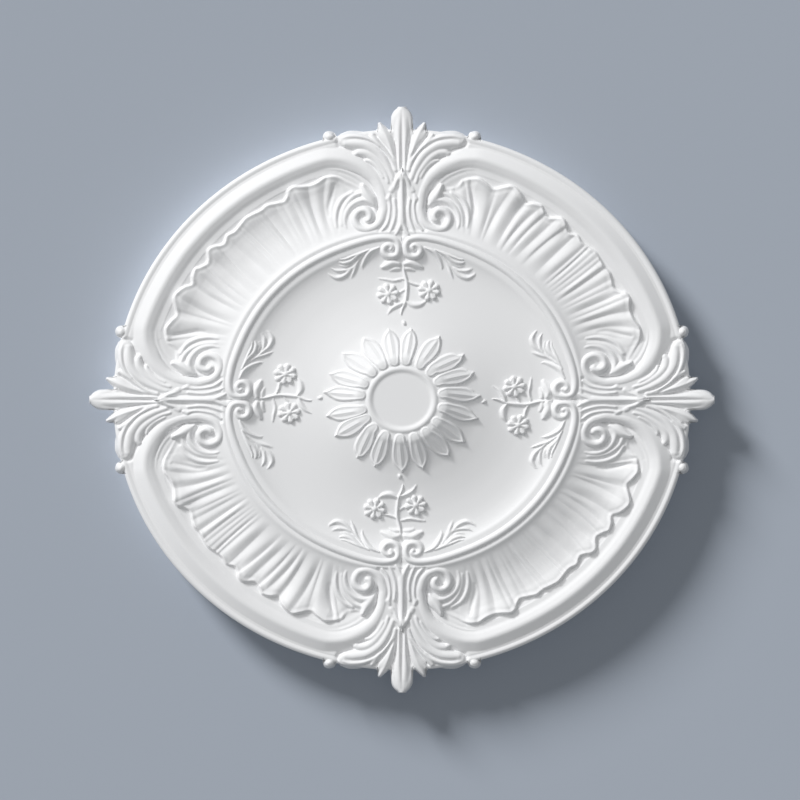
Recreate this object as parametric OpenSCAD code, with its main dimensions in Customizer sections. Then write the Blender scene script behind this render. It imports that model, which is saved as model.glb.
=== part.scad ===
// Ceiling rose: one moulded piece with a flat back, ornamented the same way four times round.
// The back lies in the plane z = 0 with the origin at its centre, and the ornament faces +Z.
// Everything is drawn round first and then widened a little along X, because the rose is slightly oval.

/* [Overall] */
// Width over the left and right palmette tips
overall_w = 700; // [560:1:800]
// Depth over the top and bottom palmette tips
overall_d = 656; // [640:1:670]
// Height of the central boss above the back
overall_h = 70; // [66:0.5:74]

/* [Rim and roll] */
// Radius of the rim edge
rim_r = 302; // [299:0.5:304]
// Height of the rim ledge above the back
rim_h = 36; // [30:0.5:36]
// Radius of the rounding on the rim edge
rim_round = 4; // [2:0.5:6]
// Radius of the big roll's centre line
roll_r = 281; // [279:0.5:282]
// Half the width of the big roll along the rim
roll_t = 11; // [9:0.2:12]
// Half its width where it runs down beside a palmette
neck_t = 5.2; // [4:0.2:6]
// Height of the big roll's crest
roll_h = 42; // [40:0.5:44]
// Radius of the arc that turns the roll in towards its volute
shoulder_r = 53.2; // [52:0.2:54]
// Angle between the axis of a palmette and the centre of that arc
shoulder_a = 18.4; // [18:0.1:18.8]

/* [Shell] */
// Mean radius of the shell's scalloped lip
lip_r = 258; // [256:0.5:260]
// Depth of the scallops in the lip
scallop = 4; // [1:0.5:6]
// Height of the lip
lip_h = 40.5; // [39:0.5:43]
// Height of the cove floor outside the lip
cove_h = 36.5; // [34:0.5:38]
// Lowest height of the shell's trough
trough_h = 37; // [36:0.5:38]
// Radius at which the trough is lowest
trough_r = 236; // [230:0.5:242]
// Depth of the scooped flutes
flute_depth = 3; // [1:0.1:4]

/* [Inner ring and dish] */
// Outer radius of the step round the inner ring
step_r = 188; // [186:0.5:190]
// Height of that step
step_h = 47.5; // [46:0.5:49]
// Radius of the ring bead's centre line
ring_r = 180; // [178:0.5:182]
// Half the thickness of the ring bead
ring_t = 4.3; // [3.5:0.1:5]
// Height of the ring bead's crest
ring_h = 52; // [50:0.5:54]
// Lowest height of the dish
dish_h = 44; // [42:0.5:46]
// Radius at which the dish is lowest
dish_r = 144; // [140:0.5:148]

/* [Boss] */
// Radius of the flared top of the boss
boss_r = 45; // [43:0.5:48]
// Radius of the bead round the central disc
bead_r = 35.5; // [34:0.5:37]
// Half the thickness of that bead
bead_t = 3.4; // [2.5:0.1:4]
// Drop from the bead's crest to the flat central disc
disc_drop = 2.2; // [1.5:0.1:3]
// Number of petals round the boss
petals = 19; // [12:1:24]
// Length of a petal
petal_l = 42; // [36:0.5:46]

/* [Palmettes] */
// Length of the central leaf
leaf_l = 73; // [66:0.5:78]
// Width of the central leaf
leaf_w = 22; // [18:0.5:26]
// Height of the leaves' edges
leaf_edge_h = 28; // [25:0.5:30]

/* [Hidden] */

quarters = [0 : 3];
sides = [0 : 1];
stretch = overall_w / overall_d;
tip_r = overall_d / 2;

// numbers of straight steps that stand for round shapes
turning_steps = 40;
lobe_steps = 6;

// the roll's shoulder arc, in the frame of a palmette whose axis is +Y
shoulder_d = roll_r - shoulder_r;
shoulder_x = shoulder_d * sin(shoulder_a);
shoulder_y = shoulder_d * cos(shoulder_a);

// the volute is a chain of arcs of shrinking radius
volute_h = 50;
hook_r = 23;
coil_r = 11;
eye_r = 6.8;
hook_x = shoulder_x - shoulder_r + hook_r;
hook_y = shoulder_y - 3;
coil_x = hook_x - 2;
coil_y = hook_y - hook_r + coil_r;
eye_y = coil_y + coil_r - eye_r;

// the little volute at each end of the ring bead
curl_r = 9;
curl_x = 12.5;
curl_y = ring_r - curl_r - 1;

// angles from the palmette on the right at which one flute of a shell meets the next
flute_edges = [16, 20.5, 25, 30, 35, 43, 49, 55.5, 62, 67, 73];

// each flute has a line along its edge and one along its middle; 1 marks an edge, -1 a middle, 0 plain ground
flute_lines = concat(
    [[4, 0]],
    [for (i = [0 : len(flute_edges) - 2], part = [0, 1])
        [(1 - part / 2) * flute_edges[i] + part / 2 * flute_edges[i + 1], 1 - 2 * part]],
    [[flute_edges[len(flute_edges) - 1], 1], [85, 0]]);
shell_lines = [for (q = quarters, line = flute_lines) [90 * q + line[0], line[1]]];

// rings of the fluted shells: radius, height, share of the scallops, share of the flutes
shell_rings = [
    [lip_r + 1.5, cove_h - 3, 1, 0],
    [lip_r, lip_h, 1, 0.4],
    [trough_r, trough_h + 0.4, 0.2, 1],
    [trough_r - 22, trough_h + 2.5, 0, 0.8],
    [step_r, step_h, 0, 0],
    [step_r - 2.4, dish_h, 0, 0]
];

// A closed solid made of rings of n points, one over another, capped at the first and the last.
module ringed(points, n) {
    rows = len(points) / n;
    walls = [
        for (i = [0 : rows - 2], j = [0 : n - 1])
            let (k = (j + 1) % n)
                each [[i * n + j, (i + 1) * n + j, (i + 1) * n + k],
                      [i * n + j, (i + 1) * n + k, i * n + k]]
    ];
    first = [for (j = [0 : n - 1]) j];
    last = [for (j = [0 : n - 1]) rows * n - 1 - j];
    polyhedron(points = points, faces = concat([first, last], walls), convexity = 10);
}

// The plate with its rounded rim, and the cove floor that stands on it inside the roll.
module plate() {
    section = [
        [0, 0],
        [rim_r, 0],
        [rim_r, rim_h - rim_round],
        [rim_r - rim_round, rim_h],
        [roll_r, rim_h],
        [roll_r - 2, cove_h],
        [0, cove_h]
    ];
    rotate_extrude($fn = turning_steps)
        polygon(section);
}

// The four fluted shells with their scalloped lip.
module shells() {
    points = [
        for (ring = shell_rings, line = shell_lines)
            let (radius = ring[0] - scallop / 2 * ring[2] * line[1],
                 sunk = flute_depth * ring[3] * (line[1] == -1 ? 1 : 0))
                [radius * cos(line[0]), radius * sin(line[0]), ring[1] - sunk]
    ];
    ringed(points, len(shell_lines));
}

// Height of the dish, which is lowest at dish_r and rises both ways.
function dish_z(r) =
    let (rise = r > dish_r ? 4.5 : overall_h - 2 - dish_h,
         reach = r > dish_r ? ring_r - ring_t - dish_r : dish_r - boss_r)
        dish_h + rise * pow((r - dish_r) / reach, 2);

// The ring bead and the dish inside it, as far as the petals.
module dish() {
    hollow = [ring_r - ring_t, dish_r, 108, boss_r + 0.6 * petal_l];
    section = concat(
        [[0, cove_h - 2],
         [ring_r + ring_t, cove_h - 2],
         [ring_r + ring_t, ring_h - ring_t],
         [ring_r, ring_h]],
        [for (r = hollow) [r, dish_z(r)]],
        [[0, dish_h + 2]]);
    rotate_extrude($fn = turning_steps)
        polygon(section);
}

// rings of the boss: radius, height, how far the petal tips reach out, how far their ridges stand up
boss_rings = [
    [boss_r, dish_h - 2, 0, 0],
    [boss_r + 0.5 * petal_l, dish_z(boss_r + 0.5 * petal_l) - 2, 0.45 * petal_l, -1.5],
    [boss_r + 0.4 * petal_l, dish_z(boss_r + 0.4 * petal_l), 0.1 * petal_l, 2],
    [boss_r, overall_h - 2, 0, 0],
    [bead_r + bead_t, overall_h - 2, 0, 0],
    [bead_r, overall_h, 0, 0],
    [bead_r - bead_t, overall_h - disc_drop, 0, 0]
];

// The boss: its flare is a crown of petals, and a bead runs round its flat disc.
module boss() {
    points = [
        for (ring = boss_rings, i = [0 : petals - 1], tip = sides)
            let (a = 3 + (i + tip / 2) * 360 / petals, radius = ring[0] + tip * ring[2])
                [radius * cos(a), radius * sin(a), ring[1] + tip * ring[3]]
    ];
    ringed(points, 2 * petals);
}

// Points of an arc from one angle to another, in equal steps, leaving out the first point when joined.
function arc_path(centre, radius, first, last, steps, joined = 0) =
    [for (i = [joined : steps])
        let (a = first + (last - first) * i / steps)
            centre + radius * [cos(a), sin(a)]];

// Direction across a path, to its right, at one of its points.
function across(path, i) =
    let (step = path[min(i + 1, len(path) - 1)] - path[max(i - 1, 0)])
        [step[1], -step[0]] / norm(step);

// A moulded bar along a path, with a half width and a crest height for each of its points.
// The section is a list of places across it: share of the half width, and drop below the crest.
module moulded_bar(path, half_widths, crests, section, foot) {
    last = len(section) - 1;
    points = [
        for (i = [0 : len(path) - 1])
            let (w = half_widths[i], dir = across(path, i))
                for (k = [0 : last])
                    let (p = path[i] + w * section[k][0] * dir)
                        [p[0], p[1], k == 0 || k == last ? foot : crests[i] - w * section[k][1]]
    ];
    ringed(points, len(section));
}
round_bar = [[-1, 0], [-0.6, 0], [0.6, 0], [1, 0]];
roof_bar = [[-1, 0], [-0.35, 0], [0.35, 0], [1, 0]];
ridged_bar = [[-1, 0], [-0.6, 0], [0, 0.5], [0.6, 0], [1, 0]];

// Values that stay at a, then change evenly to b between two places along a list of n.
function taper(n, from, to, a, b) =
    [for (i = [0 : n - 1]) a + (b - a) * min(1, max(0, (i - from) / (to - from)))];

// A list followed by its mirror image, the first entry being shared.
function both_ways(list) = concat([for (i = [len(list) - 1 : -1 : 1]) list[i]], list);

// The roll of one shell: along the rim, and at each end over the shoulder, down the neck and round the volute.
module roll() {
    half = concat(
        arc_path([0, 0], roll_r, 45, 90 - shoulder_a, 3),
        arc_path([shoulder_x, shoulder_y], shoulder_r, 90 - shoulder_a, 180, 5, 1),
        arc_path([hook_x, hook_y], hook_r, 180, 260, 3),
        arc_path([coil_x, coil_y], coil_r, -70, 90, 4),
        arc_path([coil_x, eye_y], eye_r, 90, 240, 2, 1));
    n = len(half);
    other_half = [for (i = [n - 1 : -1 : 1]) [half[i][1], half[i][0]]];
    half_widths = both_ways(taper(n, 3, 8, roll_t, neck_t) - taper(n, 11, n - 1, 0, neck_t - 3));
    crests = both_ways(taper(n, 3, 8, roll_h, volute_h));
    moulded_bar(concat(other_half, half), half_widths, crests, roof_bar, rim_h - 4);
}

// Little volute at the end of the ring bead of one quarter.
module ring_curl() {
    path = arc_path([curl_x, curl_y], curl_r, 60, 300, 5);
    moulded_bar(path, taper(6, 0, 5, ring_t, 3), taper(6, 0, 5, ring_h + 1, ring_h + 1), round_bar, cove_h);
}

// A leaf with a ridge along its middle; its root is at the origin and it points along +Y.
module leaf(length, width, root_h, tip_h) {
    outline = [[0, 0], [0.38, 0.2], [0.5, 0.5], [0.34, 0.8], [0, 1], [-0.34, 0.8], [-0.5, 0.5], [-0.38, 0.2]];
    points = [
        for (level = [cove_h - 12, leaf_edge_h], p = outline)
            [width * p[0], length * p[1], level]
    ];
    hull() {
        ringed(points, len(outline));
        translate([0, 0.1 * length, root_h - 1])
            cylinder(r = 0.8, h = 1, $fn = 3);
        translate([0, 0.8 * length, tip_h - 1])
            cylinder(r = 0.8, h = 1, $fn = 3);
    }
}

// A round lobe that narrows upward.
module lobe(x, y, radius, top_h) {
    translate([x, y, cove_h - 12])
        cylinder(r1 = radius, r2 = 0.65 * radius, h = top_h - cove_h + 12, $fn = lobe_steps);
}

// One side of the acanthus that curls out over the shoulder, with its rolled end and lobes.
module acanthus() {
    path = arc_path([shoulder_x, shoulder_y], shoulder_r + 20, 146, 98, 3);
    moulded_bar(path, taper(4, 0, 2, 6, 10), taper(4, 0, 3, 46, 40), ridged_bar, cove_h - 12);
    lobe(shoulder_x - 8, shoulder_y + shoulder_r + 20, 9, 39);
    lobe(47, 276, 7, roll_h + 1);
}

// Leaves of one palmette, with its stem and calyx; its axis is +Y.
module palmette() {
    translate([0, tip_r - leaf_l, 0])
        leaf(leaf_l, leaf_w, 48, 35);
    for (s = sides)
        mirror([s, 0, 0]) {
            translate([6, 256, 0])
                rotate([0, 0, -28])
                    leaf(52, 20, 46, 33);
            acanthus();
        }
    stem = [[0, step_r - 3], [0, 225], [0, 238], [0, 256]];
    moulded_bar(stem, [7, 6, 10, 6], [50, 50, 51, 48], round_bar, cove_h - 2);
}

// A daisy: a ring of petals that rises to a button in the middle.
module daisy() {
    petal_count = 6;
    turn = 180 / petal_count;
    outline = [for (i = [0 : 2 * petal_count - 1])
        (i % 2 == 0 ? 10.5 : 6.5) * [cos(i * turn), sin(i * turn)]];
    translate([0, 0, dish_h - 4])
        linear_extrude(height = 9)
            polygon(outline);
    translate([0, 0, dish_h - 4])
        cylinder(r = 3.4, h = 12, $fn = lobe_steps);
}

// The spray of two daisies that hangs from the ring towards the boss.
module spray() {
    translate([-15, 118, 0])
        daisy();
    translate([29, 121, 0])
        daisy();
    stem = arc_path([-25, 118], 30, 32, -38, 3);
    moulded_bar(stem, taper(4, 0, 3, 2.6, 1.8), taper(4, 0, 3, dish_h + 5, dish_h + 7), round_bar, dish_h - 4);
}

module ceiling_rose() {
    color("#ededed")
        scale([stretch, 1, 1]) {
            plate();
            shells();
            dish();
            boss();
            for (q = quarters)
                rotate([0, 0, 90 * q]) {
                    palmette();
                    spray();
                    roll();
                    for (s = sides)
                        mirror([s, 0, 0])
                            ring_curl();
                }
        }
}

ceiling_rose();
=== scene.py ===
"""Ceiling rose: the finished relief, modelled as heights over the back and shaped stroke by stroke.

All lengths are in millimetres and all angles in degrees until the mesh is made. The rose is modelled
round and then widened along X by STRETCH. It is worked out over one quarter, from the palmette on the
right (0 degrees) to the upper one (90 degrees), and repeated. Strokes are written for the upper
palmette, right-hand half. Heights are above the plain base, which is added at the end.

About half of the rows in the tables were read off the photograph in pixels and brought to millimetres
by a scratch program, and many heights started from a depth map worked out from its shading. That is
not how such tables should be made.
"""
import math

import bpy
import numpy as np
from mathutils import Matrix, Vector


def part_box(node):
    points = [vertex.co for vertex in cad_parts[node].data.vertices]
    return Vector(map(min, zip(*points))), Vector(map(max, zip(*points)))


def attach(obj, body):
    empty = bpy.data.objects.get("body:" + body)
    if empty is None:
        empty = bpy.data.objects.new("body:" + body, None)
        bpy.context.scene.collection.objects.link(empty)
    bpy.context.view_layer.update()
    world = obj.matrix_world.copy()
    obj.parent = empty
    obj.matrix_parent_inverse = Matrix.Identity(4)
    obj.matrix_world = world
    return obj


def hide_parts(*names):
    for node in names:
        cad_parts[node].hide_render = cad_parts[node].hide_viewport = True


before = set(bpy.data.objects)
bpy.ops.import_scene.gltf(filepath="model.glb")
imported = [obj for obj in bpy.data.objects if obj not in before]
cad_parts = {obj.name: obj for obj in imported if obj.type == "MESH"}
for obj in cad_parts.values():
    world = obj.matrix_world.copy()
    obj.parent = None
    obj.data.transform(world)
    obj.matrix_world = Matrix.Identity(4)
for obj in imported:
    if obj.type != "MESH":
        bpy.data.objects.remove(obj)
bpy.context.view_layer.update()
low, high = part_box("ceiling_rose")

STRETCH = (high.x - low.x) / (high.y - low.y)
TIP_R = 1000 * high.y            # the leaf tips
RIM_R = 302.4
RIM_H = 30.1
RIM_ROUND = 4.0                  # radius of the rim's outer edge
UNDER = 18.5                     # underside of the leaves that reach past the rim
BASE = 6.0                       # thickness of the plain base
TUCK = 0.4                       # how far the side of the rim stands in from its edge
OUTSIDE = -50.0                  # a height for points past the rim, below everything


# ---------------------------------------------------------------- curves and blends

def smooth_line(rows):
    """A smooth function through (place, value) rows that doesn't overshoot them."""
    x, y = np.array(rows, float).T
    step = np.diff(x)
    slope = np.diff(y) / step
    tangent = np.zeros(len(x))
    tangent[0], tangent[-1] = slope[0], slope[-1]
    same = slope[:-1] * slope[1:] > 0
    a, b = 2 * step[1:] + step[:-1], step[1:] + 2 * step[:-1]
    with np.errstate(divide="ignore", invalid="ignore"):
        mean = (a + b) / (a / slope[:-1] + b / slope[1:])
    tangent[1:-1] = np.where(same, mean, 0)

    def value(at):
        at = np.clip(at, x[0], x[-1])
        i = np.clip(np.searchsorted(x, at, "right") - 1, 0, len(x) - 2)
        t = (at - x[i]) / step[i]
        return ((1 + 2 * t) * (1 - t) ** 2 * y[i] + t * (1 - t) ** 2 * step[i] * tangent[i]
                + t * t * (3 - 2 * t) * y[i + 1] + t * t * (t - 1) * step[i] * tangent[i + 1])
    return value


def curve(rows, step=1.3, closed=False):
    """Points along a smooth curve through the rows; further columns are carried along."""
    p = np.array(rows, float)
    if closed:
        p = np.vstack([p[-1:], p, p[:2]])
    else:
        p = np.vstack([2 * p[:1] - p[1:2], p, 2 * p[-1:] - p[-2:-1]])
    out = []
    for i in range(1, len(p) - 2):
        a, b, c, d = p[i - 1:i + 3]
        n = max(2, int(math.ceil(math.hypot(c[0] - b[0], c[1] - b[1]) / step)))
        t = np.arange(n)[:, None] / n
        out.append(0.5 * (2 * b + (c - a) * t + (2 * a - 5 * b + 4 * c - d) * t ** 2
                          + (3 * b - a - 3 * c + d) * t ** 3))
    out.append(p[-2:-1])
    return np.vstack(out)


def along(x, y, path, reach):
    """Where points lie beside a path.

    Gives, for those within reach: their numbers, the distance to its left, its further columns there.
    """
    lo, hi = path[:, :2].min(0) - reach, path[:, :2].max(0) + reach
    near = np.flatnonzero((x > lo[0]) & (x < hi[0]) & (y > lo[1]) & (y < hi[1]))
    px, py = x[near], y[near]
    best = np.full(len(near), reach * reach)
    which = np.full(len(near), -1)
    share = np.zeros(len(near))
    for k in range(len(path) - 1):
        ax, ay = path[k, :2]
        dx, dy = path[k + 1, :2] - path[k, :2]
        t = np.clip(((px - ax) * dx + (py - ay) * dy) / (dx * dx + dy * dy), 0, 1)
        gap = (px - ax - t * dx) ** 2 + (py - ay - t * dy) ** 2
        closer = gap < best
        best[closer], which[closer], share[closer] = gap[closer], k, t[closer]
    hit = which >= 0
    near, k, t = near[hit], which[hit], share[hit]
    px, py = x[near], y[near]
    a, b = path[k], path[k + 1]
    foot = a + t[:, None] * (b - a)
    turn = (b[:, 0] - a[:, 0]) * (py - a[:, 1]) - (b[:, 1] - a[:, 1]) * (px - a[:, 0])
    return near, np.sqrt(best[hit]) * np.sign(turn), foot[:, 2:]


def soft_max(a, b, k):
    """The higher of two heights, with a fillet of about k millimetres where they meet."""
    if not k:
        return np.maximum(a, b)
    h = np.clip(k - np.abs(a - b), 0, None) / k
    return np.maximum(a, b) + h * h * k / 4


def step_up(x, lo, hi):
    """0 before lo, 1 past hi, smooth in between; it falls if hi is below lo."""
    t = np.clip((x - lo) / (hi - lo), 0, 1)
    return t * t * (3 - 2 * t)


def inside(x, y, outline, soft=1.0):
    """1 inside a closed outline, 0 outside, blended over about soft millimetres at its edge."""
    n = len(outline)
    odd = np.zeros(len(x), bool)
    lo, hi = outline.min(0) - 2 * soft, outline.max(0) + 2 * soft
    near = np.flatnonzero((x > lo[0]) & (x < hi[0]) & (y > lo[1]) & (y < hi[1]))
    px, py = x[near], y[near]
    cross = np.zeros(len(near), bool)
    for k in range(n):
        (ax, ay), (bx, by) = outline[k], outline[(k + 1) % n]
        if ay != by:
            cross ^= ((ay > py) != (by > py)) & (px < (bx - ax) * (py - ay) / (by - ay) + ax)
    odd[near] = cross
    gap = np.full(len(x), 2 * soft)
    edge, side, _ = along(x, y, np.vstack([outline, outline[:1]]), 2 * soft)
    gap[edge] = np.abs(side)
    return step_up(np.where(odd, gap, -gap), -soft, soft)


# ---------------------------------------------------------------- the grid of points

def spaced(lo, hi, step):
    """Radii from lo up to, but not including, hi."""
    return list(np.linspace(lo, hi, int(round((hi - lo) / step)) + 1)[:-1])


EDGE_FROM = 296.0                # from here outwards the rings follow the outline
INNER = spaced(2, 28, 2.6) + spaced(28, 45, 0.85)
MIDDLE = spaced(45, 84, 0.9) + spaced(84, 166, 1.15)
OUTER = spaced(166, 193, 0.75) + spaced(193, 255, 1.2) + spaced(255, EDGE_FROM, 0.8)
ZONES = ((INNER, 120), (MIDDLE, 240), (OUTER, 480))     # radii, points on a quarter of each ring

# shares of the way from there to the outline, closer together at its edge
EDGE = np.array([0, .05, .1, .15, .2, .25, .3, .35, .4, .45, .5, .55, .6, .65, .7, .75, .79, .83,
                 .865, .895, .92, .94, .957, .972, .985, 1])


class Points:
    """Points of one quarter, with the ways the neighbouring palmettes see them."""

    def __init__(self, r, a):
        self.r, self.a = r, a
        self.x, self.y = r * np.cos(np.radians(a)), r * np.sin(np.radians(a))
        x, y = self.x, self.y
        self.right = [(x, y), (y, x)]          # the half palmettes in this quarter
        self.left = [(-x, y), (-y, x)]         # the halves across its edges
        self.turned = [(x, y), (-y, x)]        # for strokes that aren't the same on both sides
        self.h = np.zeros(len(r))

    def views(self, path, reach, turned):
        """The ways of seeing the points in which a stroke may touch them."""
        if turned:
            return self.turned
        return self.right + (self.left if path[:, 0].min() < reach else [])

    def bar(self, rows, drop=5.0, power=2.2, fillet=0.8, wall=5.0, turned=False, on=None):
        """A raised stroke: rows of x, y, half width, height of its crest (over the heights in on)."""
        path = curve(rows)
        reach = path[:, 2].max() + 4
        for u, v in self.views(path, reach, turned):
            i, d, (w, z) = self._along(u, v, path, reach)
            if on is not None:
                z = z + on[i]
            d = np.abs(d)
            t = np.minimum(d / w, 1)
            z = z - drop * t ** power - wall * np.maximum(d - w, 0)
            self.h[i] = soft_max(self.h[i], z, fillet)

    def line(self, rows, turned=False):
        """A fine line: rows of x, y, half width, rise (a groove if it is negative)."""
        path = curve(rows)
        reach = 2.4 * path[:, 2].max() + 0.5
        total = np.zeros(len(self.h))
        for u, v in self.views(path, reach, turned):
            i, d, (w, rise) = self._along(u, v, path, reach)
            add = rise * np.exp(-(d / w) ** 2)
            total[i] = np.where(np.abs(add) > np.abs(total[i]), add, total[i])
        self.h += total

    @staticmethod
    def _along(u, v, path, reach):
        i, d, rest = along(u, v, path, reach)
        return i, d, (np.maximum(rest[:, 0], 0.2), rest[:, 1])


# ---------------------------------------------------------------- plain turned parts

# heights by radius
boss_and_dish = smooth_line([
    (0, 61.8), (28.5, 61.8), (30.3, 62.1), (31.8, 62.9), (33.3, 63.6), (34.6, 63.8), (35.9, 63.5),
    (37.2, 62.7), (38.6, 62.0), (42, 61.8), (45, 61.6), (48, 60.3), (52, 58.0), (57, 55.5), (63, 52.7),
    (69, 50.2), (75, 48.2), (82, 46.2), (89, 44.6), (99, 42.5), (110, 40.7), (120, 39.4), (130, 38.6),
    (144, 38.2), (152, 38.5), (158, 39.2), (163, 40.2), (167, 41.5), (169.5, 42.6), (171.5, 43.1),
    (173.5, 43.2), (176, 43.3), (185, 43.0), (187, 43.3), (188.5, 43.5), (190, 43.1), (191.5, 42.2),
    (193, 41.3), (196, 40.2)])
shell_run = smooth_line([
    (188, 43.2), (191.5, 42.2), (193, 41.3), (196, 40.0), (200, 38.6), (205, 37.0), (210, 35.5),
    (216, 33.8), (222, 32.5), (229, 31.6), (238, 31.2), (245, 31.6), (251, 32.8), (257, 34.2),
    (266, 35.4)])

# how far the broad part of the roll falls at a distance from its crest, towards the shell and the rim
roll_inside = smooth_line([
    (0, 0), (1.5, 0.18), (3, 0.65), (5, 1.35), (6.5, 1.9), (8, 2.65), (10, 3.6), (11, 3.9), (13, 4.15),
    (16, 4.45), (18, 4.6)])
roll_outside = smooth_line([
    (0, 0), (1, 0.08), (2.5, 0.5), (4.5, 1.5), (6.5, 2.6), (8.5, 3.7), (10.5, 4.8), (12.5, 6.0),
    (14, 7.6)])

mound_run = smooth_line([
    (186, 42.0), (197, 41.2), (213, 39.9), (224, 38.6), (235, 37.8), (245, 36.8), (254, 35.6),
    (261, 34.4), (271, 32.4), (282, 30.4), (292, 28.2), (302, 26.0)])


def rim_edge(r):
    """The rim, with its two fine lines and its rounded edge."""
    over = np.clip(r - (RIM_R - RIM_ROUND), 0, RIM_ROUND)
    lines = 0.2 * np.exp(-((r - 299.0) / 1.4) ** 2) - 0.45 * np.exp(-((r - 295.4) / 1.1) ** 2)
    return RIM_H + lines - (RIM_ROUND - np.sqrt(np.maximum(RIM_ROUND ** 2 - over ** 2, 0)))


# ---------------------------------------------------------------- outlines

def on_arc(radius, angles, half_width, height):
    """Rows of a stroke that follows a circle about the middle of the rose."""
    return [(radius * math.cos(math.radians(a)), radius * math.sin(math.radians(a)), half_width, height)
            for a in angles]


# the crests of the roll and of the ring bead, with their curls: x, y, half width, height
ROLL_FOOT = 23                   # rows of the roll, down to the foot of its volute
ROLL = on_arc(280.3, (41, 46, 51, 56, 62), 11, 36.1) + [
    (105.4, 259.9, 11, 36.1), (83.5, 267.8, 11, 36.1), (73, 269, 10.4, 35.9), (62.5, 268, 9.6, 35.8),
    (52, 264.5, 8.8, 35.9), (41.5, 259, 7.9, 36.1), (34.5, 253.5, 7.3, 36.4), (29, 248, 6.8, 36.8),
    (25, 241.5, 6.2, 37.5), (22, 235, 5.9, 38.3), (20, 227.5, 5.6, 39.1), (19, 219, 5.4, 40.1),
    (18.5, 213, 5.2, 40.9), (20, 206.5, 5.0, 41.7), (22, 200.5, 4.8, 42.5), (26, 195, 4.5, 43.1),
    (31.5, 191.5, 4.3, 43.5), (37.5, 190, 4.2, 43.5), (44, 191.5, 4.1, 42.8), (48, 196, 4.0, 41.7),
    (49.5, 201.5, 3.9, 40.7), (48.5, 206.5, 3.8, 40.3), (45, 210.5, 3.7, 40.5), (39.5, 212, 3.7, 41.1),
    (35.5, 210, 3.7, 42), (33.5, 206, 3.7, 42.6), (34, 202, 3.6, 42.8), (35.5, 200.5, 3.4, 42.6)]
RING = on_arc(180.6, (41, 46, 52, 58, 65), 4.2, 45.9) + [
    (57.5, 171.5, 4.2, 45.9), (41.5, 177, 4.1, 45.9), (31.5, 179.5, 4, 45.9), (21, 181, 3.8, 45.9),
    (12.5, 180.5, 3.5, 46), (6.5, 178, 3.4, 46), (4, 173, 3.3, 46), (4, 167, 3.3, 45.9),
    (5.5, 162.5, 3.3, 45.7), (10.5, 160, 3.3, 45.5), (16, 161, 3.3, 45.5), (19.5, 165.5, 3.3, 45.6),
    (18.5, 170.5, 3.2, 45.7), (14, 173, 3.1, 45.8), (10.5, 171, 2.9, 45.9), (11.5, 168.5, 2.5, 45.7)]

# the lip of a shell: angle from the palmette on the right, radius
LIP = [
    (7.3, 215), (6.7, 223.5), (7.4, 230.5), (9, 237), (11, 244), (13, 250.5), (14.5, 256.5),
    (16, 260.5), (18, 262), (20, 259.5), (22, 259), (24, 261.5), (25.5, 264.5), (27, 263), (28, 258),
    (29.2, 255), (31, 257), (33, 260), (35, 259), (37, 260.5), (39, 261.5), (41, 259.5), (43, 258),
    (45, 260), (47, 256), (49, 262), (50, 263.5), (51, 262.5), (53, 255.5), (55, 259), (56, 262),
    (58, 259.5), (59.5, 255.5), (61, 261), (63, 265), (64.5, 265.5), (66, 261), (68, 255), (70, 258),
    (72, 260.5), (74, 257.5), (75.5, 253.5), (76.2, 247.5), (77.5, 242.5), (79.3, 241), (80.6, 239),
    (81.6, 230.5), (82.6, 222)]

# lines of the flutes: angle at the lip, half-way, at the foot; 1 on a ridge, 0 in a furrow
FLUTES = [
    (12.0, 16.0, 18.6, .6), (15.0, 17.6, 19.4, .12), (17.0, 19.2, 20.6, .5), (18.2, 20.8, 21.6, 0),
    (20.6, 22.3, 23.1, .8), (22.6, 23.9, 24.4, 0), (24.9, 25.2, 25.8, 1), (25.9, 26.2, 26.6, .4),
    (26.6, 26.7, 27.2, .55), (27.4, 27.8, 28.3, 0), (28.9, 29.6, 30.0, .8), (29.8, 30.2, 30.6, .55),
    (30.6, 30.9, 31.2, .7), (31.6, 31.8, 32.0, .3), (33.2, 33.0, 33.2, .6), (34.6, 34.4, 34.1, .05),
    (35.7, 35.4, 35.1, 1), (36.8, 36.3, 36.1, .4), (37.3, 37.0, 36.9, .6), (37.9, 37.7, 37.5, .4),
    (38.8, 38.4, 38.2, .65), (39.4, 39.0, 38.8, .45), (40.2, 39.7, 39.4, .65), (40.9, 40.5, 40.3, .15),
    (41.5, 41.1, 41.0, .6), (41.9, 41.7, 41.7, .35), (43.0, 43.1, 43.3, 1), (45.3, 45.4, 45.3, 0),
    (46.6, 47.7, 48.3, .9), (48.3, 49.4, 50.0, .3), (49.0, 50.2, 51.0, .85), (51.3, 52.2, 53.1, 0),
    (52.8, 54.1, 55.0, .8), (54.0, 55.1, 55.6, .3), (54.7, 56.1, 56.9, .9), (56.1, 57.6, 58.1, .05),
    (58.2, 58.9, 58.9, .85), (59.8, 60.2, 60.2, 0), (62.1, 62.8, 62.5, 1), (64.0, 64.7, 64.5, 0),
    (66.3, 65.9, 65.2, .5), (67.3, 66.5, 65.7, .3), (69.8, 68.1, 67.0, 1), (73.6, 71.0, 69.0, 0),
    (74.8, 71.8, 69.8, .5), (75.4, 72.6, 70.8, .25), (76.2, 74.0, 71.6, .65), (77.0, 76.0, 73.0, .3),
    (78.0, 77.2, 74.2, .75)]


def arc_end(radius, first, last, n=24):
    """Points on a circle about the middle of the rose, to close an outline with."""
    a = np.radians(np.linspace(first, last, n))
    return np.column_stack([radius * np.cos(a), radius * np.sin(a)])


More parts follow.
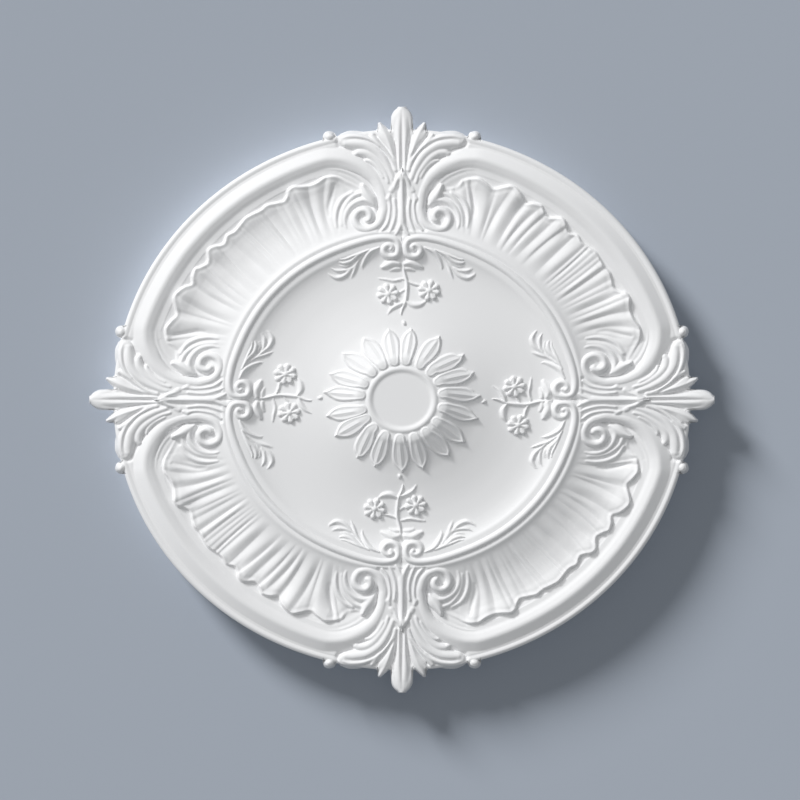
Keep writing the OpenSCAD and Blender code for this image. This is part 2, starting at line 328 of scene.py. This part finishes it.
def flutes(p):
    """How high the flutes stand, 0 to 1, at each point."""
    lip, half, foot, level = np.array(FLUTES).T
    half_r, lip_r, past_lip_r = 229.0, 256.0, 262.0
    out = np.zeros(len(p.r))
    near = np.flatnonzero((p.r > 186) & (p.r < 270))
    for radius in np.unique(np.round(p.r[near], 3)):
        on = near[np.abs(p.r[near] - radius) < 0.002]
        t = (min(radius, past_lip_r) - half_r) / (lip_r - half_r)
        place = half + (lip - foot) / 2 * t + ((lip + foot) / 2 - half) * t * t
        place = np.maximum.accumulate(place + np.arange(len(place)) * 1e-6)
        i = np.clip(np.searchsorted(place, p.a[on], "right") - 1, 0, len(place) - 2)
        s = np.clip((p.a[on] - place[i]) / (place[i + 1] - place[i]), 0, 1)
        rising = level[i + 1] > level[i]
        round_top = np.where(rising, np.sin(s * math.pi / 2), 1 - np.cos(s * math.pi / 2))
        s = 0.6 * round_top + 0.4 * s * s * (3 - 2 * s)      # round ridges, narrow furrows
        out[on] = level[i] + (level[i + 1] - level[i]) * s
    return out


# ---------------------------------------------------------------- the rose, stroke by stroke

def mound(p, h):
    """The mound under each palmette, between the rolls."""
    low_edge = [(0, 189), (12.5, 188.5), (25, 188)]
    body = [(26, 194), (20, 206.5), (19, 219), (22, 235), (29, 248), (37, 256), (43, 263), (50, 271),
            (58, 277.5), (64, 282), (65.5, 287), (61, 293), (48, 295.5), (35.5, 291), (25, 290),
            (12.5, 294), (0, 296.5)]
    floor = 29.6
    outline = np.vstack([low_edge, curve(body)])
    outline = np.vstack([outline, outline[::-1] * [-1, 1]])
    for u, v in p.right:
        m = inside(u, v, outline, 2.0)
        top = np.maximum(mound_run(v) - 0.012 * np.maximum(np.abs(u) - 10, 0) ** 1.6, floor)
        h = h + m * (top - h)
    return h


def shell_bowl(p, h):
    """The bowl inside each roll: its cove, then the fluted shell behind the scalloped lip."""
    run = curve(ROLL[:ROLL_FOOT])[:, :2]
    cut = run[run[:, 0] < run[:, 1] + 1]       # as far as the middle of the quarter
    ring = np.vstack([cut, arc_end(193.0, 78, 46)])
    loop = np.vstack([ring, ring[::-1][:, ::-1]])
    bowl = inside(p.x, p.y, loop, 1.5)

    far = 40.0
    near, d, _ = along(p.x, p.y, np.vstack([cut[::-1], cut[:, ::-1]]), far)
    gap = np.full(len(p.r), far)               # from the roll's crest
    gap[near] = np.abs(d)
    cove = 31.3 - 1.2 * step_up(gap, 15, 23) + 0.6 * step_up(gap, 16, 11)
    clear = 0.2 + 0.8 * step_up(np.abs(p.a - 45), 12, 32)
    lines = 0.4 * np.exp(-((gap - 11.3) / 1.6) ** 2) - 0.3 * np.exp(-((gap - 14) / 1.4) ** 2)
    cove = cove + clear * lines

    lip = curve([(r * math.cos(math.radians(a)), r * math.sin(math.radians(a))) for a, r in LIP], 2.0)
    mouth = np.vstack([lip, arc_end(190.0, 84, 6)])
    deep = 2.2 * step_up(p.r, 196, 222) * (1 - 0.2 * step_up(p.r, 245, 262))
    deep = deep + 0.5 * step_up(p.r, 194, 200)
    shell = shell_run(p.r) + deep * (flutes(p) - 0.45)
    lobes = np.interp(p.a, *np.array(LIP[4:-4]).T) - 259.5     # out at a lobe's tip, in at a notch
    shell = shell + 0.32 * np.clip(lobes, -5, 5) * step_up(p.r, 232, 255)
    near, d, _ = along(p.x, p.y, lip, 8)
    d = np.abs(d)
    shell[near] += 0.3 * np.exp(-((d - 1.2) / 1.5) ** 2) - 0.35 * np.exp(-((d - 5) / 1.8) ** 2)
    shell = cove + step_up(inside(p.x, p.y, mouth, 1.7), 0, 1) * (shell - cove)
    return h + bowl * (shell - h)


def ground(p):
    """Rim, dish and boss, with the mounds under the palmettes and the shells' bowls."""
    h = np.where(p.r < 196, boss_and_dish(p.r), np.where(p.r > RIM_R, OUTSIDE, rim_edge(p.r)))
    return shell_bowl(p, mound(p, h))


def tongues(p):
    """Tongues of the shell beside each volute."""
    p.bar([(29, 218, 3.1, 37.6), (32.5, 223.5, 6.3, 38.6), (37, 230.5, 5.7, 38.4), (41, 239, 2.6, 37.2)],
          drop=4.5, power=1.8, wall=4)
    for rows in [
            [(31.5, 220, 2.5, 37.6), (39.5, 223, 2.7, 37.9), (48, 220.5, 2.7, 37.2),
             (55, 214.5, 2.7, 36.9), (59, 206.5, 2.7, 37.6), (60, 198, 2.5, 38.6),
             (58.5, 192, 2.1, 39.5)],
            [(41.5, 231.5, 2.5, 35.3), (51, 227, 2.5, 35.1), (59, 217, 2.5, 35.3),
             (62.5, 205.5, 2.5, 36.5), (63, 195, 2.3, 38.4)],
            [(52, 231.5, 2.3, 33.8), (61.5, 225.5, 2.5, 34), (67.5, 215, 2.5, 34.9),
             (69.5, 203.5, 2.3, 36.5), (68.5, 193, 2.1, 38.2)]]:
        p.bar([(x, y, w, z - 0.4) for x, y, w, z in rows], drop=1.9, power=2, wall=1.5, fillet=1.2)
    p.line([(71, 240, 2.1, -1.2), (74, 226.5, 2.5, -2.2), (76.5, 215, 2.3, -1.8),
            (76, 206.5, 1.9, -0.8)])


def stem(p):
    """The stem with its calyx, and the ridges that run beside it."""
    for rows in [
            [(14.5, 225.5, 2.1, 40.1), (12.5, 218, 2.1, 40.7), (13, 207.5, 2.1, 41.5),
             (15.5, 197, 2.1, 42.8), (21, 189, 1.9, 43.6)],
            [(8, 223.5, 2.1, 40.5), (7, 214, 2.3, 41.5), (7.5, 203.5, 2.3, 42.4),
             (10.5, 193, 2.3, 43.4), (13, 187, 2.1, 43.8)]]:
        p.bar(rows, drop=2.2, power=2, wall=1.5, fillet=0.6)
    p.bar([(0, 238, 2.7, 40.3), (0, 224.5, 3, 41.3), (0, 208.5, 3.3, 43.2), (0, 198, 3.8, 44.3),
           (4, 189, 3.1, 44.5), (6.5, 185, 2.3, 44.3)], drop=3.2)
    p.line([(0, 196, 1.7, -0.2), (0, 189, 2.1, -1.6), (0, 183.5, 2.3, -1.6)])
    p.bar([(11, 233.5, 3.8, 39.5), (10, 237, 2.9, 39)], drop=2.6)
    p.bar([(14.5, 224.5, 3.3, 40.5), (13, 228.5, 2.1, 39.7)], drop=2.2)
    p.bar([(0, 251.5, 3.5, 40.5), (5, 245.5, 2.9, 40.1), (7.5, 239, 2.7, 39.5), (10, 233, 2.1, 38.8)],
          drop=2.8)
    p.bar([(0, 251, 4.2, 40.7), (0, 244, 4.2, 40.3), (0, 238, 3.1, 39.9)], drop=3)
    p.line([(2.5, 244, 1.3, -0.9), (4, 237, 1.5, -1.3), (5, 228.5, 1.5, -1.2), (5, 217, 1.3, -0.8)])


def acanthus(p):
    """The acanthus leaf: its flap, then its lobes, the upper edge and the furrows."""
    p.bar([(9.5, 246, 3.5, 37.6), (14, 256.5, 5.8, 36.6), (21, 268, 7.9, 35.3), (30.5, 279, 9.4, 34.2),
           (40.5, 286, 9.8, 33.5), (51, 289, 8.8, 33.0), (59, 289.5, 7.2, 32.2), (61.5, 289, 6.6, 31.6)],
          drop=2.2, power=2.4, wall=6)
    p.bar([(9.5, 247, 2.6, 38.2), (15.5, 262, 3.8, 37.4), (24, 275, 4.8, 36.4), (36.5, 284, 5.4, 35.6),
           (49, 286.5, 5.2, 34.7), (58.5, 286.5, 4.4, 33.3)], drop=2.4, power=2, wall=2.5, fillet=1.2)
    p.bar([(14.5, 243, 2.4, 38.4), (18, 254, 3.2, 37.2), (27, 267.5, 4.2, 36), (36, 275, 4.4, 35.3),
           (44, 276.5, 4.2, 34.5), (48, 275, 3.2, 33.7)], drop=2.4, power=2, wall=3, fillet=1.0)
    p.bar([(19.5, 248.5, 2.2, 37.2), (25.5, 259.5, 2.8, 35.8), (32.5, 266, 2.9, 34.9),
           (37.5, 267.5, 2.1, 34.1)], drop=2.0, power=2, wall=3, fillet=0.8)
    p.bar([(8.5, 262, 1.6, 37.0), (13.5, 272.5, 1.9, 36.2), (21, 282, 2.2, 35.4), (30, 289, 2.5, 34.7),
           (42, 293.5, 2.7, 34.1), (54, 294.3, 2.7, 33.1), (61, 292.5, 2.3, 32.0)],
          drop=2.2, power=2, wall=3, fillet=0.8)
    p.bar([(24, 284, 2.2, 35.2), (28.5, 290.5, 3.2, 34.2), (31.5, 295.3, 2.4, 33.0)],
          drop=1.8, wall=6, fillet=1.4)
    p.line([(10.5, 261.5, 1.1, -0.4), (17, 273.5, 1.3, -1.0), (26, 282.5, 1.4, -1.3),
            (37.5, 289, 1.5, -1.3), (50, 291, 1.5, -1.0), (57.5, 290.5, 1.4, -0.4)])
    p.line([(66.5, 293, 1.6, -0.6), (67.5, 288, 2.0, -2.4), (64.5, 282.5, 2.4, -2.6),
            (58, 279, 2.4, -1.8), (51.5, 279, 1.8, -0.8)])


def side_leaf(p):
    """The pointed leaf on each side of the central one."""
    p.bar([(7, 256.5, 2.5, 37.4), (9.5, 270, 3.6, 35.6), (13, 284, 4.8, 34.0), (17, 294, 5.2, 33.2),
           (20.5, 302, 3.6, 31.9), (23.3, 308.2, 0.9, 30.3)], drop=2.4, power=2.4, wall=6)
    p.bar([(11.5, 275, 2.6, 34.6), (17, 285, 4.6, 33.7), (21, 293.5, 4.6, 32.9),
           (24.5, 299.5, 1.8, 31.4)], drop=1.2, wall=6, fillet=2.2)
    p.line([(8.5, 267, 1.3, 0.6), (11, 278.5, 1.5, 1.0), (14.5, 289.5, 1.6, 1.0), (18.5, 299, 1.5, 0.7),
            (22, 305.5, 1, 0.2)])
    p.line([(7.5, 268, 1.4, -0.8), (12, 275, 1.5, -1.8), (18.8, 285, 1.6, -2.2), (25, 293, 1.6, -1.8),
            (28, 298, 1.4, -0.8)])


def central_leaf(p):
    """The long leaf in the middle of the palmette, which reaches past the rim."""
    p.bar([(0, 253.5, 4.6, 36.9), (0, 263, 4.8, 35.9), (0, 273.5, 5.4, 34.7), (0, 286, 7.1, 33.6),
           (0, 298.5, 9.4, 32.6), (0, 310, 10.4, 31.7), (0, 317.5, 9.6, 30.8), (0, 323, 7.0, 29.8),
           (0, 326.8, 3.2, 29.0)], drop=2.8, power=2.6, wall=6)
    p.line([(3.5, 256.5, 1.7, 1.2), (3.5, 267, 1.6, 1.4), (3.5, 281.5, 1.7, 1.2), (4, 298.5, 1.9, 0.9),
            (3, 313, 1.7, 0.4)])
    p.line([(0, 254.5, 1.5, -1), (0, 261, 1.7, -2.8), (0, 273.5, 1.6, -2.6), (0, 288, 1.4, -1.8),
            (0, 307, 1, -1.1), (0, 319.5, 0.8, -0.4)])
    p.line([(6, 273.5, 0.9, -0.2), (7, 288, 1.3, -0.8), (8, 302.5, 1.3, -0.8), (6.5, 315, 1, -0.3)])


def ball(p):
    """The little ball on the rim, with the groove round it."""
    p.bar([(75.5, 293.9, 3.9, 32.0), (76.5, 294.2, 3.8, 32.0)], drop=2.4, wall=4)
    p.line([(72.5, 293.2, 1, -0.1), (74.5, 296.1, 1, -0.5), (77.8, 296.4, 1, -0.6),
            (79, 293.9, 1, -0.5), (77.3, 292.2, 0.9, -0.3)])


def roll(p):
    """The roll with its volutes: one cross-section where it is broad, another where it is narrow."""
    path = curve(ROLL)
    for u, v in p.right:
        i, d, rest = along(u, v, path, 20)
        w, z = rest.T
        broad = step_up(w, 6.5, 10.0)
        d_in, d_out = np.maximum(d, 0), np.maximum(-d, 0)
        narrow = 3.4 * np.minimum(np.abs(d) / w, 1) ** 2.2 + 4 * np.maximum(np.abs(d) - w, 0)
        wide = roll_inside(d_in) + roll_outside(d_out)
        wide = wide + 3 * np.maximum(d_in - 17, 0) + 3 * np.maximum(d_out - 14, 0)
        p.h[i] = np.maximum(p.h[i], z - broad * wide - (1 - broad) * narrow)


def ring_bead(p, dish):
    """The ring bead with its curls, and the leaves under them."""
    p.bar(RING, drop=3.0, power=2.2, wall=3, fillet=0.3)
    for rows in [
            [(3.5, 152, 2.3, 4.4), (9.5, 153, 3.3, 4.8), (15.5, 150.5, 3.3, 4.0), (20.5, 148, 1.8, 2.6)],
            [(2.5, 146.5, 2.0, 2.4), (7.5, 146.5, 2.6, 2.6), (12.5, 144.5, 1.6, 1.4)]]:
        p.bar(rows, drop=2.2, power=2, wall=1.4, fillet=1.4, on=dish)


def sprigs(p, dish):
    """The leafy sprigs beside the curls."""
    for rows in [
            [(24, 170, 1.5, 1.2), (32.5, 165.5, 2.3, 2.4), (38, 158.5, 2.4, 2.6), (41.5, 150, 1.6, 1.8),
             (41.5, 146.5, 0.6, 1)],
            [(34.5, 167.5, 1.4, 1.2), (45, 162, 2.1, 2.2), (53, 155, 2.4, 2.6), (60.5, 152.5, 2.3, 2.4),
             (65.5, 153.5, 0.7, 1.2)],
            [(43, 164.5, 1.3, 1.2), (52, 160, 1.7, 1.9), (59.5, 157, 1.3, 1.6), (64.5, 156.5, 0.6, 1)],
            [(39.5, 164, 1.1, 1.2), (46.5, 153.5, 1.6, 1.8), (50.5, 143, 1.8, 2.2), (53.5, 135, 0.6, 1)],
            [(44, 157.5, 1.1, 1.2), (52, 147.5, 1.6, 1.9), (60, 139, 2.4, 2.5), (68, 136, 2.4, 2.5),
             (74, 138.5, 1.5, 1.8), (77, 141, 0.6, 1)],
            [(52, 148, 1, 1.2), (60, 144.5, 1.7, 2), (68, 144, 1.9, 2.2), (73.5, 146.5, 0.6, 1)],
            [(50, 153, 1, 1.2), (58.5, 149, 1.5, 1.8), (65.5, 149.5, 0.6, 1)]]:
        p.bar(rows, drop=2.2, power=1.8, wall=2, fillet=0.5, on=dish)


def spray(p, dish):
    """The flower spray: its stalks and leaves, then its two flowers."""
    for rows in [
            [(1, 156.5, 1.3, 2), (2, 144, 1.6, 2.6), (5, 131.5, 1.7, 2.8), (5, 122, 1.7, 2.8),
             (3.5, 109.5, 1.6, 2.6), (0, 101, 1.3, 2.2), (-1, 95, 0.8, 1.6)],
            [(2, 86, 2.1, 2.6), (2.5, 85, 2.1, 2.4)],
            [(4, 133.5, 1.1, 2), (10.5, 130, 1.4, 2.4), (20, 127.5, 1.3, 2.2)],
            [(3, 135.5, 0.9, 1.6), (-8.5, 133, 1.5, 2.2), (-17.5, 134.5, 1.3, 2), (-26.5, 135.5, 0.5, 1)],
            [(4, 124, 1, 1.8), (-2, 120, 1.1, 2), (-6.5, 118, 1, 1.8)],
            [(3, 108.5, 1.4, 2.4), (-4, 106, 2.3, 2.8), (-10.5, 102, 2.1, 2.4), (-15.5, 95, 0.6, 1)],
            [(5, 109.5, 1.5, 2.4), (11.5, 106, 3.1, 2.8), (19, 106.5, 2.7, 2.6), (25, 110, 0.8, 1.4)]]:
        p.bar(rows, drop=2.2, power=1.8, wall=2, fillet=0.4, turned=True, on=dish)
    for (cx, cy), turn in (((-14.5, 118), 10), ((28.5, 122), 32)):
        for u, v in p.turned:
            gap = np.hypot(u - cx, v - cy)
            i = np.flatnonzero(gap < 13)
            angle = np.degrees(np.arctan2(v[i] - cy, u[i] - cx)) - turn
            off = np.abs((angle + 22.5) % 45 - 22.5) / 22.5
            reach = 10.6 - 2.6 * off ** 2
            d = gap[i]
            petal = 3.8 - 1.4 * off ** 2 - 1.2 * (d < 4.2) * (1 - d / 4.2)
            petal = petal - 2.5 * np.maximum(d - reach, 0)
            petal = petal - 0.9 * np.exp(-((1 - off) * d * 0.39 / 0.9) ** 2) * step_up(d, 3.0, 5.0)
            button = 4.0 * np.sqrt(np.clip(1 - (d / 3.6) ** 2, 0, 1)) + 0.8 * (d < 3.6)
            p.h[i] = np.maximum(p.h[i], dish[i] + np.maximum(petal, button))


def shape(p):
    """Heights of one quarter, without the petals."""
    dish = boss_and_dish(np.minimum(p.r, 186))
    p.h = ground(p)
    tongues(p)
    stem(p)
    acanthus(p)
    side_leaf(p)
    central_leaf(p)
    ball(p)
    roll(p)
    ring_bead(p, dish)
    sprigs(p, dish)
    spray(p, dish)


# petals: direction of the tip, reach, half width, lean of the foot, all a little unlike each other
PETALS = [
    (3, 81, 8.6, 6), (22, 80, 9.0, 6), (38, 81, 9.2, 8), (61, 80, 9.2, 3), (83, 79, 8.4, 1.5),
    (100, 79, 8.8, 1), (120, 79, 9.4, -2), (140, 80, 9.4, -4), (159, 80, 9.2, -3), (174, 81, 8.6, -1),
    (193, 80, 8.6, 2), (210, 80, 9.4, -1), (234, 79, 9.0, -8), (249, 79, 8.8, -3), (270, 80, 9.2, -3),
    (286, 80, 8.8, 1), (308, 79, 9.2, -3), (324, 80, 9.0, 2), (345, 81, 8.6, 3)]


def petals(x, y, h):
    """Adds the petals round the boss to a full circle of heights."""
    r = np.hypot(x, y)
    flare = smooth_line([
        (38, 63.4), (42, 63.7), (46, 63.3), (52, 60.6), (58, 57.8), (64, 55.0), (70, 52.4), (75, 50.7),
        (79, 50.0), (83, 49.8)])
    for tip, reach, wide, lean in PETALS:
        a = math.radians(tip)
        b = math.radians(tip + lean)

        def row(radius, share, half_width, place):
            turn = share * a + (1 - share) * b
            return radius * math.cos(turn), radius * math.sin(turn), half_width, place

        rows = [row(43, 0, 5.8, 0), row(48, 0, 6.8, 0.15), row(54, 0.3, 0.9 * wide, 0.35),
                row(62, 0.6, wide, 0.6), row(69, 0.8, 0.92 * wide, 0.75), row(75, 1, 0.58 * wide, 0.9),
                row(reach, 1, 0.8, 1)]
        i, d, rest = along(x, y, curve(rows), wide + 3)
        w, s = np.maximum(rest[:, 0], 0.3), rest[:, 1]
        t = np.abs(d) / w
        z = flare(r[i]) - 1.7 * np.minimum(t, 1) ** 2.4
        z = z + 0.75 * np.exp(-((np.abs(d) - w + 1.7) / 1.1) ** 2)
        ribs = np.exp(-(d / 1.0) ** 2) - 0.8 * np.exp(-((np.abs(d) - 0.42 * w) / 1.2) ** 2)
        z = z + 0.5 * ribs * step_up(s, 0.1, 0.4) * (1 - step_up(s, 0.8, 0.97))
        z = z - 3.0 * np.maximum(np.abs(d) - w, 0)
        h[i] = soft_max(h[i], z, 0.5)
    return h


# ---------------------------------------------------------------- heights on rings

def quarter_heights(radii, angles):
    """Heights over one quarter for radii (one per ring, or one per ring and angle)."""
    a = np.broadcast_to(angles, radii.shape if radii.ndim == 2 else (len(radii), len(angles)))
    r = radii if radii.ndim == 2 else np.broadcast_to(radii[:, None], a.shape)
    p = Points(r.ravel(), a.ravel())
    shape(p)
    return r, p.h.reshape(a.shape)


def full_circle(r, h):
    """Places and heights of a whole turn from those of one quarter."""
    n = 4 * h.shape[1]
    a = np.radians(np.arange(n) * 360.0 / n)
    r, h = np.tile(r, 4), np.tile(h, 4)
    return r * np.cos(a), r * np.sin(a), h


def outer_edge(angles):
    """How far out the rim or the leaves reach in each direction."""
    far = np.arange(RIM_R + 0.2, TIP_R, 0.3)
    r, h = quarter_heights(far, angles)
    reach = np.full(len(angles), RIM_R)
    open_way = np.ones(len(angles), bool)
    for k in range(len(far)):
        open_way &= h[k] > UNDER
        reach[open_way] = far[k]
    return reach


def heights():
    """Every ring of the rose's face: x, y, z arrays, from the middle outwards."""
    rings = []
    for radii, points in ZONES:
        angles = np.arange(points) * 90.0 / points
        x, y, z = full_circle(*quarter_heights(np.array(radii), angles))
        if radii is not OUTER:
            z = petals(x.ravel(), y.ravel(), z.ravel()).reshape(z.shape)
        rings += list(zip(x, y, z))
    reach = outer_edge(angles)
    wide = np.minimum(EDGE_FROM + (reach - EDGE_FROM) * EDGE[:, None], TIP_R - 0.05)
    r, h = quarter_heights(wide, angles)
    over = reach > RIM_R
    h = np.maximum(h, UNDER)
    h[-1] = np.where(over, UNDER, RIM_H - RIM_ROUND)
    rings += list(zip(*full_circle(r, h)))
    return rings


# ---------------------------------------------------------------- meshes

def strip(a, b, n, m):
    """Triangles between a ring of n points from number a and the next, m = n or 2n from number b."""
    j = np.arange(n)
    k = (j + 1) % n
    if n == m:
        return np.vstack([np.column_stack([a + j, b + j, b + k]),
                          np.column_stack([a + j, b + k, a + k])])
    return np.vstack([np.column_stack([a + j, b + 2 * j, b + 2 * j + 1]),
                      np.column_stack([a + j, b + 2 * j + 1, a + k]),
                      np.column_stack([a + k, b + 2 * j + 1, b + (2 * j + 2) % m])])


def piece(rings, first, last):
    """One closed ring-shaped piece of the rose, from its face down to the flat back."""
    bottom = []
    inner, outer = rings[first], rings[last]
    if last == len(rings) - 1:
        reach = np.hypot(outer[0], outer[1])
        inset = (RIM_R - TUCK) / np.maximum(reach, RIM_R - TUCK)
        bottom.append((outer[0] * inset, outer[1] * inset, np.full(len(inset), UNDER + BASE - 0.1)))
        bottom.append((outer[0] * inset, outer[1] * inset, np.zeros(len(inset))))
    else:
        bottom.append((outer[0], outer[1], np.zeros(len(outer[0]))))
    if first:
        bottom.append((inner[0], inner[1], np.zeros(len(inner[0]))))
    face = rings[first:last + 1]
    every = face + bottom
    starts = np.cumsum([0] + [len(g[0]) for g in every])
    points = np.hstack([np.vstack(g) for g in every]).T
    top, sides = [], []
    for k in range(len(face) - 1):
        top.append(strip(starts[k], starts[k + 1], len(face[k][0]), len(face[k + 1][0])))
    n = len(face[-1][0])
    for k in range(len(face) - 1, len(every) - 1):
        if len(every[k][0]) == len(every[k + 1][0]):
            sides.append(strip(starts[k], starts[k + 1], n, n))
        else:
            back = strip(starts[k + 1], starts[k], len(every[k + 1][0]), len(every[k][0]))
            sides.append(back[:, ::-1])
    if first:
        m = len(inner[0])
        sides.append(strip(starts[len(every) - 1], starts[0], m, m))
    else:
        middle = len(points)
        points = np.vstack([points, [0, 0, inner[2].mean()], [0, 0, 0]])
        j = np.arange(len(inner[0]))
        top.append(np.column_stack([np.full(len(j), middle), j, (j + 1) % len(j)]))
        j = np.arange(n)
        ring = starts[len(every) - 1]
        sides.append(np.column_stack([np.full(n, middle + 1), ring + (j + 1) % n, ring + j]))
    return points, np.vstack(top), np.vstack(sides)


def face_normals_at_points(rings):
    """Smooth normals over the whole face, so that they agree where two pieces meet."""
    starts = np.cumsum([0] + [len(g[0]) for g in rings])
    points = np.hstack([np.vstack(g) for g in rings]).T * [STRETCH, 1, 1]
    tris = np.vstack([strip(starts[k], starts[k + 1], len(rings[k][0]), len(rings[k + 1][0]))
                      for k in range(len(rings) - 1)])
    a, b, c = (points[tris[:, k]] for k in range(3))
    flat = np.cross(b - a, c - a)
    total = np.zeros_like(points)
    for k in range(3):
        for axis in range(3):
            total[:, axis] += np.bincount(tris[:, k], flat[:, axis], len(points))
    return starts, total / np.maximum(np.linalg.norm(total, axis=1, keepdims=True), 1e-12)


def corner_normals(points, top, sides, smooth_top):
    """Normals at every corner: smooth over the face, flat on the sides and the back."""
    triangles = np.vstack([top, sides])
    a, b, c = (points[triangles[:, k]] for k in range(3))
    flat = np.cross(b - a, c - a)
    flat /= np.maximum(np.linalg.norm(flat, axis=1, keepdims=True), 1e-12)
    corners = np.repeat(flat, 3, axis=0)
    smooth = np.zeros_like(points)
    smooth[:] = (0, 0, 1)
    smooth[:len(smooth_top)] = smooth_top
    corners[:3 * len(top)] = smooth[top.ravel()]
    return corners


def build(name, rings, first, last, starts, normals, material):
    """Makes one piece as a mesh that rides on the CAD part and stands for it."""
    points, top, sides = piece(rings, first, last)
    points = points * [STRETCH / 1000, 0.001, 0.001]
    triangles = np.vstack([top, sides])
    mesh = bpy.data.meshes.new(name)
    mesh.vertices.add(len(points))
    mesh.vertices.foreach_set("co", points.ravel())
    mesh.loops.add(3 * len(triangles))
    mesh.loops.foreach_set("vertex_index", triangles.ravel().astype(np.int32))
    mesh.polygons.add(len(triangles))
    mesh.polygons.foreach_set("loop_start", np.arange(0, 3 * len(triangles), 3, dtype=np.int32))
    mesh.polygons.foreach_set("use_smooth", np.ones(len(triangles), bool))
    mesh.update(calc_edges=True)
    corners = corner_normals(points, top, sides, normals[starts[first]:starts[last + 1]])
    mesh.normals_split_custom_set(corners.tolist())
    mesh.materials.append(material)
    thing = bpy.data.objects.new(name, mesh)
    bpy.context.scene.collection.objects.link(thing)
    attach(thing, "root")
    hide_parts("ceiling_rose")
    return thing


# ---------------------------------------------------------------- material

def node(tree, kind, **inputs):
    """A shader node with constant values on its sockets."""
    n = tree.nodes.new(kind)
    for key, value in inputs.items():
        n.inputs[key.replace("_", " ")].default_value = value
    return n


def painted(name, colour, roughness, grain, depth):
    """A matt painted surface with a faint unevenness in tone and in the surface itself."""
    m = bpy.data.materials.new(name)
    m.use_nodes = True
    t = m.node_tree
    t.nodes.clear()
    out = t.nodes.new("ShaderNodeOutputMaterial")
    skin = t.nodes.new("ShaderNodeBsdfPrincipled")
    skin.inputs["Base Color"].default_value = (*colour, 1)
    skin.inputs["Roughness"].default_value = roughness
    skin.inputs["Specular IOR Level"].default_value = 0.3
    place = t.nodes.new("ShaderNodeTexCoord")
    noise = node(t, "ShaderNodeTexNoise", Scale=grain, Detail=3.0, Roughness=0.5)
    bump = node(t, "ShaderNodeBump", Strength=0.12, Distance=depth)
    t.links.new(place.outputs["Object"], noise.inputs["Vector"])
    t.links.new(noise.outputs["Fac"], bump.inputs["Height"])
    t.links.new(bump.outputs["Normal"], skin.inputs["Normal"])
    t.links.new(skin.outputs["BSDF"], out.inputs["Surface"])
    return m


white = painted("white_moulding", (0.88, 0.88, 0.885), 0.6, 900.0, 0.0003)

# the pieces, from the middle outwards, and the radii where they meet
NAMES = ["rose_boss", "rose_dish", "rose_ring", "rose_shells", "rose_roll", "rose_rim"]
MEET = [84, 166, 199, 245, 279]

rings = [(x, y, z + BASE) for x, y, z in heights()]
starts, normals = face_normals_at_points(rings)
ring_r = np.array([np.hypot(x, y).min() for x, y, z in rings])
cuts = [0] + [int(np.argmin(np.abs(ring_r - r))) for r in MEET] + [len(rings) - 1]
rose = [build(name, rings, first, last, starts, normals, white)
        for name, first, last in zip(NAMES, cuts[:-1], cuts[1:])]


# ---------------------------------------------------------------- wall, light and camera

bpy.ops.mesh.primitive_plane_add(size=40, location=(0, 0, -0.0005))
wall = bpy.context.object
wall.name = "wall"
wall.data.materials.append(painted("wall_paint", (0.50, 0.55, 0.63), 0.75, 60.0, 0.0002))


def sun(name, power, softness, azimuth, height):
    """A lamp far away: softness is the angle it fills, azimuth is from +X, height is above the wall."""
    light = bpy.data.lights.new(name, "SUN")
    light.energy = power
    light.angle = math.radians(softness)
    lamp = bpy.data.objects.new(name, light)
    lamp.rotation_euler = (0, math.radians(90 - height), math.radians(azimuth))
    bpy.context.scene.collection.objects.link(lamp)
    return lamp


def lit_only(lamp, name, things):
    """Keeps a lamp's light to some of the things; the others still cast shadows in it."""
    group = bpy.data.collections.new(name)
    for thing in things:
        group.objects.link(thing)
    lamp.light_linking.receiver_collection = group


# one lamp can't give both the picture's long soft shadow and its gentle shading: the wall has its own
lit_only(sun("wall_key", 3.5, 17, 131, 21.5), "wall_only", [wall])
lit_only(sun("key", 1.95, 12, 132, 28), "rose_only", rose)
lit_only(sun("fill", 1.1, 70, 135, 50), "rose_only_too", rose)

world = bpy.data.worlds.new("room")
world.use_nodes = True
sky = world.node_tree.nodes["Background"]
sky.inputs["Color"].default_value = (0.95, 0.98, 1.0, 1)
sky.inputs["Strength"].default_value = 0.25
bpy.context.scene.world = world

LENS = 600.0                     # long, because the picture shows no perspective
WIDTH_SEEN = 0.8945              # metres across the picture, level with the rim
eye = bpy.data.cameras.new("eye")
eye.lens = LENS
eye.clip_end = 100
camera = bpy.data.objects.new("eye", eye)
camera.location = (-0.0022, -0.0003, 0.031 + WIDTH_SEEN * LENS / eye.sensor_width)
bpy.context.scene.collection.objects.link(camera)
bpy.context.scene.camera = camera
bpy.context.scene.view_settings.view_transform = "Standard"
